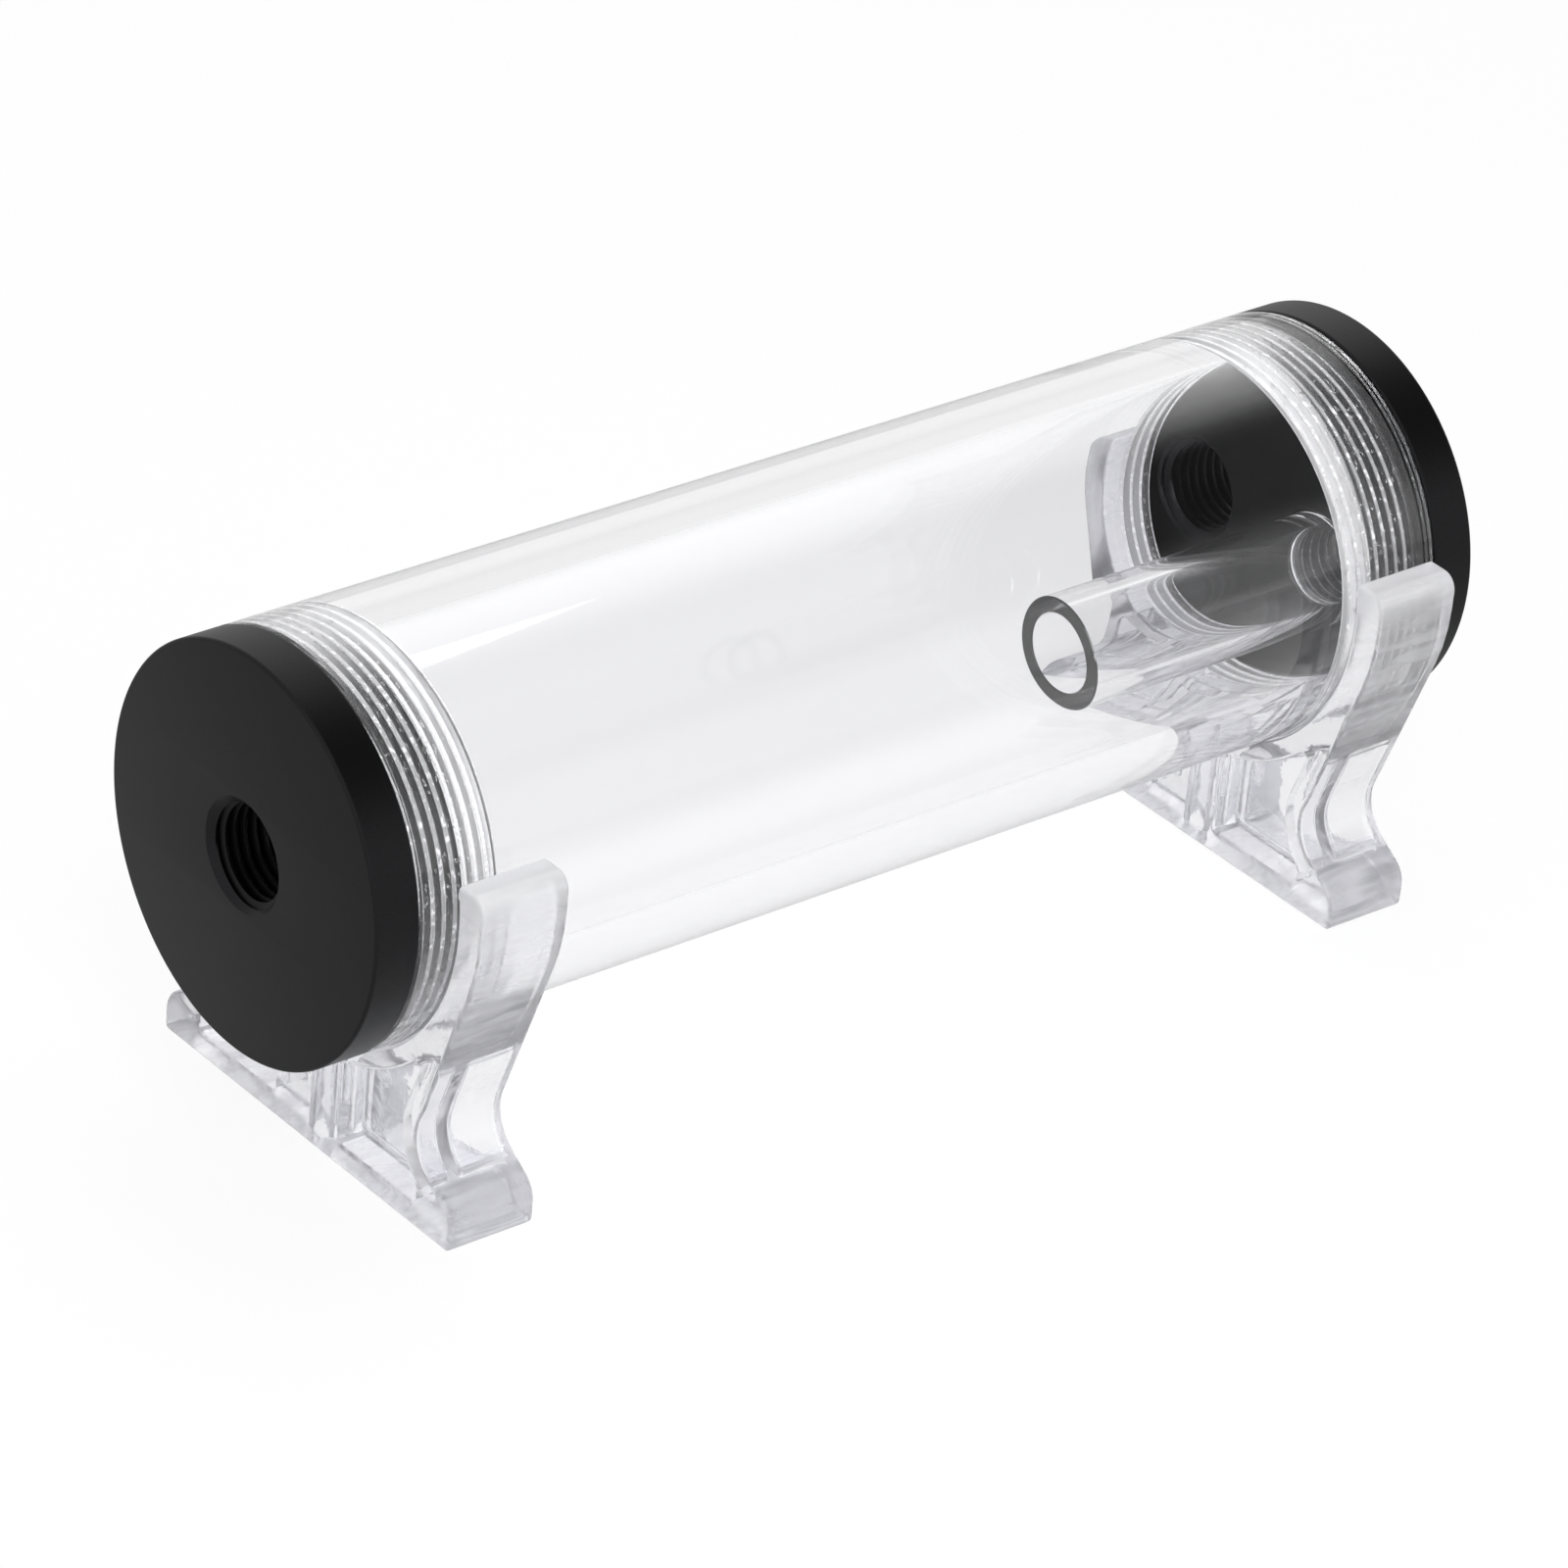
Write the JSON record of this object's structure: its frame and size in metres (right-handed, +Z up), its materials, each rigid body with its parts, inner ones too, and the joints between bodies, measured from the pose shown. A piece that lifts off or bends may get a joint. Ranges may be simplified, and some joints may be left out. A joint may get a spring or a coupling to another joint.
{
  "type": "liquid cooling reservoir",
  "caption": "Clear cylinder coolant reservoir with black screw-on end caps, threaded ports, an inner tube and clear mounting clips.",
  "frame": {"origin": "on the floor under the middle of the tube: the bottom centre of the bounding box", "axes": "+Y along the tube from the one-port cap to the two-port cap, +Z up from the clips' feet, +X to the side that holds the inner tube"},
  "size_m": [0.0586, 0.162, 0.066],
  "materials": {
    "clear_acrylic": "polished extruded acrylic tube, clear, threads left as cut",
    "black_aluminium": "black anodised, bead blasted, satin",
    "seal_rubber": "moulded black nitrile rubber",
    "clear_moulding": "injection moulded clear plastic with light flow marks"
  },
  "bodies": {
    "tube": {"reservoir_tube": "clear_acrylic"},
    "front_seal_ring": {"front_seal": "seal_rubber"},
    "front_end": {"front_cap": "black_aluminium"},
    "rear_seal_ring": {"rear_seal": "seal_rubber"},
    "rear_end": {"rear_cap": "black_aluminium"},
    "flow_tube": {"inner_tube": "clear_acrylic"},
    "front_holder": {"front_clip": "clear_moulding"},
    "rear_holder": {"rear_clip": "clear_moulding"}
  },
  "joints": [
    {"name": "front_cap_advance", "type": "slide", "parent": "tube", "child": "front_seal_ring", "axis": [0, -1, 0], "range_m": [0, 0.00826]},
    {"name": "front_cap_turn", "type": "hinge", "parent": "front_seal_ring", "child": "front_end", "pos_m": [0, -0.075, 0.041], "axis": [0, -1, 0], "range_deg": [0, 1980]},
    {"name": "rear_cap_advance", "type": "slide", "parent": "tube", "child": "rear_seal_ring", "axis": [0, 1, 0], "range_m": [0, 0.00826]},
    {"name": "rear_cap_turn", "type": "hinge", "parent": "rear_seal_ring", "child": "rear_end", "pos_m": [0, 0.075, 0.041], "axis": [0, 1, 0], "range_deg": [0, 1980]},
    {"name": "inner_tube_out", "type": "slide", "parent": "rear_end", "child": "flow_tube", "axis": [0, -1, 0], "range_m": [0, 0.0095]},
    {"name": "front_clip_slide", "type": "slide", "parent": "tube", "child": "front_holder", "axis": [0, 1, 0], "range_m": [-0.005, 0.057]},
    {"name": "rear_clip_slide", "type": "slide", "parent": "tube", "child": "rear_holder", "axis": [0, 1, 0], "range_m": [-0.061, 0.0008]}
  ],
  "couplings": [
    {"joint": "front_cap_advance", "follows": "front_cap_turn", "m_per_rad": 0.00023873},
    {"joint": "rear_cap_advance", "follows": "rear_cap_turn", "m_per_rad": 0.00023873}
  ]
}
